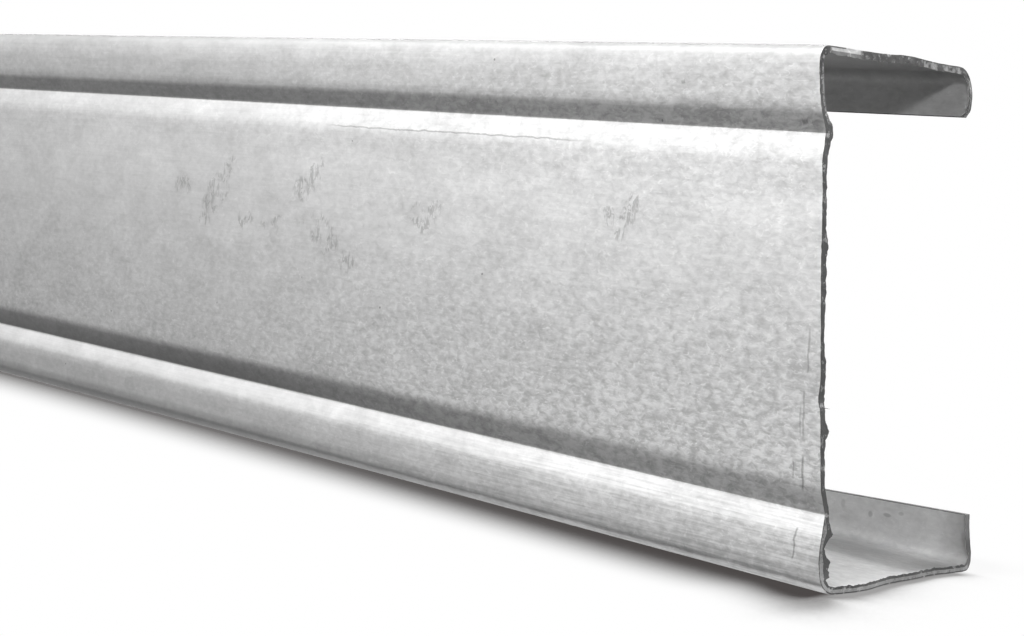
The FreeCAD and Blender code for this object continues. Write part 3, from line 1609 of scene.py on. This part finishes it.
    @staticmethod
    def _free_edge(
        mesh: SheetMesh,
        outer: Sequence[Row],
        inner: Sequence[Row],
        near_rows: Sequence[Row],
        side: int,
        flipped: bool,
    ) -> None:
        """Closes the sheet along a lip's free edge.

        Args:
            mesh: What the edge is added to.
            outer: The outer face's rings.
            inner: The inner face's rings.
            near_rows: The cut face's rows between the two.
            side: 0 for the upper lip and -1 for the lower lip.
            flipped: Whether the faces are turned round.
        """
        for k in range(len(outer) - 1):
            corners = [outer[k][side], inner[k][side], inner[k + 1][side], outer[k + 1][side]]
            if k == len(outer) - 2:
                corners[3:3] = [row[side] for row in reversed(near_rows)]
            mesh.face(corners, FaceKind.SLIT, flipped)

    def _add_sliver(self, mesh: SheetMesh, sliver: Sliver) -> None:
        """Adds one splinter, with its foot sunk into the cut face.

        Args:
            mesh: What the splinter is added to.
            sliver: The splinter.
        """
        height = sliver.z * MM
        width = sliver.width * MM
        foot = Vector((self.high_x - self.near_end.slope() * height, sliver.y * MM, height))
        along = Vector(sliver.pointing).normalized()
        side = along.cross(UP).normalized()
        up = side.cross(along)
        corners = []
        for k in range(sliver.sides):
            angle = 2.0 * math.pi * k / sliver.sides
            rim = side * math.cos(angle) + up * math.sin(angle)
            corners.append(tuple(foot - along * width + rim * width / 2))
        ring = mesh.ring(corners)
        tip = mesh.ring([tuple(foot + along * sliver.length * MM)])[0]
        mesh.face(ring, FaceKind.SHEARED, True)
        for a, b in zip(ring, ring[1:] + ring[:1]):
            mesh.face([a, b, tip], FaceKind.SHEARED)


@dataclass(frozen=True)
class SoftBox:
    """A square of soft light, placed by its bearing from a point that it is turned to."""

    name: str
    aim: Triple
    bearing_degrees: float
    rise_degrees: float
    distance: float
    size: float
    power: float

    def build(self) -> bpy.types.Object:
        """Hangs the lamp.

        Returns:
            The lamp.
        """
        light = bpy.data.lights.new(self.name, "AREA")
        light.shape = "SQUARE"
        light.size = self.size
        light.energy = self.power
        back = direction(self.bearing_degrees, self.rise_degrees)
        lamp = placed(self.name, light)
        lamp.location = Vector(self.aim) + back * self.distance
        lamp.rotation_mode = "QUATERNION"
        lamp.rotation_quaternion = back.to_track_quat("Z", "Y")
        return lamp


CUT_END_MIDDLE = (0.47, -0.019, 0.045)

LAMPS = (
    SoftBox("overhead_key", CUT_END_MIDDLE, -25.0, 67.0, 0.34, 0.1, 1.58),
    SoftBox("overhead_front", CUT_END_MIDDLE, 0.0, 70.0, 0.35, 0.1, 0.7),
    SoftBox("beyond_end", (0.5, 0.0, 0.04), 60.0, 27.0, 1.0, 0.12, 3.7),
    SoftBox("overhead_far", (-0.25, 0.0, 0.04), -15.0, 70.0, 0.9, 0.3, 3.5),
    SoftBox("open_side", (0.2, 0.0, 0.04), 170.0, 24.5, 1.8, 0.18, 24.0),
)


@dataclass(frozen=True)
class ViewCamera:
    """The camera of the reference view."""

    name: str = "view_camera"
    place: Triple = (0.6454, -0.2264, 0.0562)
    bearing_degrees: float = 45.24
    rise_degrees: float = 4.92
    roll_degrees: float = 4.43
    lens: float = 65.13
    sensor_width: float = 36.0
    nearest: float = 0.01
    farthest: float = 50.0

    def build(self) -> bpy.types.Object:
        """Sets the camera up and makes it the scene's own.

        Returns:
            The camera.
        """
        roll = math.radians(self.roll_degrees)
        back = direction(self.bearing_degrees, self.rise_degrees)
        level_right = (-back).cross(UP).normalized()
        level_up = back.cross(level_right)
        right = level_right * math.cos(roll) + level_up * math.sin(roll)
        up = level_up * math.cos(roll) - level_right * math.sin(roll)
        data = bpy.data.cameras.new(self.name)
        data.lens = self.lens
        data.sensor_width = self.sensor_width
        data.clip_start = self.nearest
        data.clip_end = self.farthest
        camera = placed(self.name, data)
        turned = Matrix((right, up, back)).transposed().to_4x4()
        camera.matrix_world = Matrix.Translation(Vector(self.place)) @ turned
        bpy.context.scene.camera = camera
        return camera


@dataclass(frozen=True)
class Studio:
    """The pale floor, the white surroundings, the lamps and the camera."""

    lamps: tuple[SoftBox, ...]
    camera: ViewCamera = ViewCamera()
    floor_half_width: float = 12.0
    floor_drop: float = 0.05 * MM
    white: Triple = (1.0, 1.0, 1.0)
    surroundings: float = 0.06

    def build(self) -> None:
        """Builds everything round the channel."""
        self._floor()
        self._world()
        for lamp in self.lamps:
            lamp.build()
            log.info("lamp %s at %.2f W", lamp.name, lamp.power)
        self.camera.build()

    def _floor(self) -> bpy.types.Object:
        """Lays a square of paper just under the channel.

        Returns:
            The floor.
        """
        half = self.floor_half_width
        corners = [(-half, -half, 0.0), (half, -half, 0.0), (half, half, 0.0), (-half, half, 0.0)]
        mesh = bpy.data.meshes.new("floor")
        mesh.from_pydata(corners, [], [(0, 1, 2, 3)])
        mesh.materials.append(StudioFloor().material())
        floor = placed("floor", mesh)
        floor.location.z = -self.floor_drop
        return floor

    def _world(self) -> None:
        """Makes the world white to the eye and in reflections, and a weak even light otherwise."""
        world = bpy.data.worlds.new("studio_world")
        bpy.context.scene.world = world
        world.use_nodes = True
        board = NodeBoard(world.node_tree)
        seen = board.ray_kinds()[1]
        strength = seen + (1.0 - seen) * self.surroundings
        background = board.out("Background", {}, {"Color": self.white, "Strength": strength})
        board.node("OutputWorld", {}, {"Surface": background})


def main() -> None:
    """Builds the channel and its studio, and reports each piece."""
    logging.basicConfig(level=logging.INFO, format="%(name)s: %(message)s")
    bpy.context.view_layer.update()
    low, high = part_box(CHANNEL_NODE)
    section = SheetSection(width=high.y - low.y, height=high.z - low.z)
    piece = BentSheet(section, low.x, high.x, NEAR_END, FAR_END, SLIVERS).build()
    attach(piece, CHANNEL_BODY)
    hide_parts(CHANNEL_NODE)
    log.info("piece %s with %d faces", piece.name, len(piece.data.polygons))
    Studio(LAMPS).build()


if __name__ == "__main__":
    main()
    bpy.context.scene.view_settings.view_transform = "Standard"
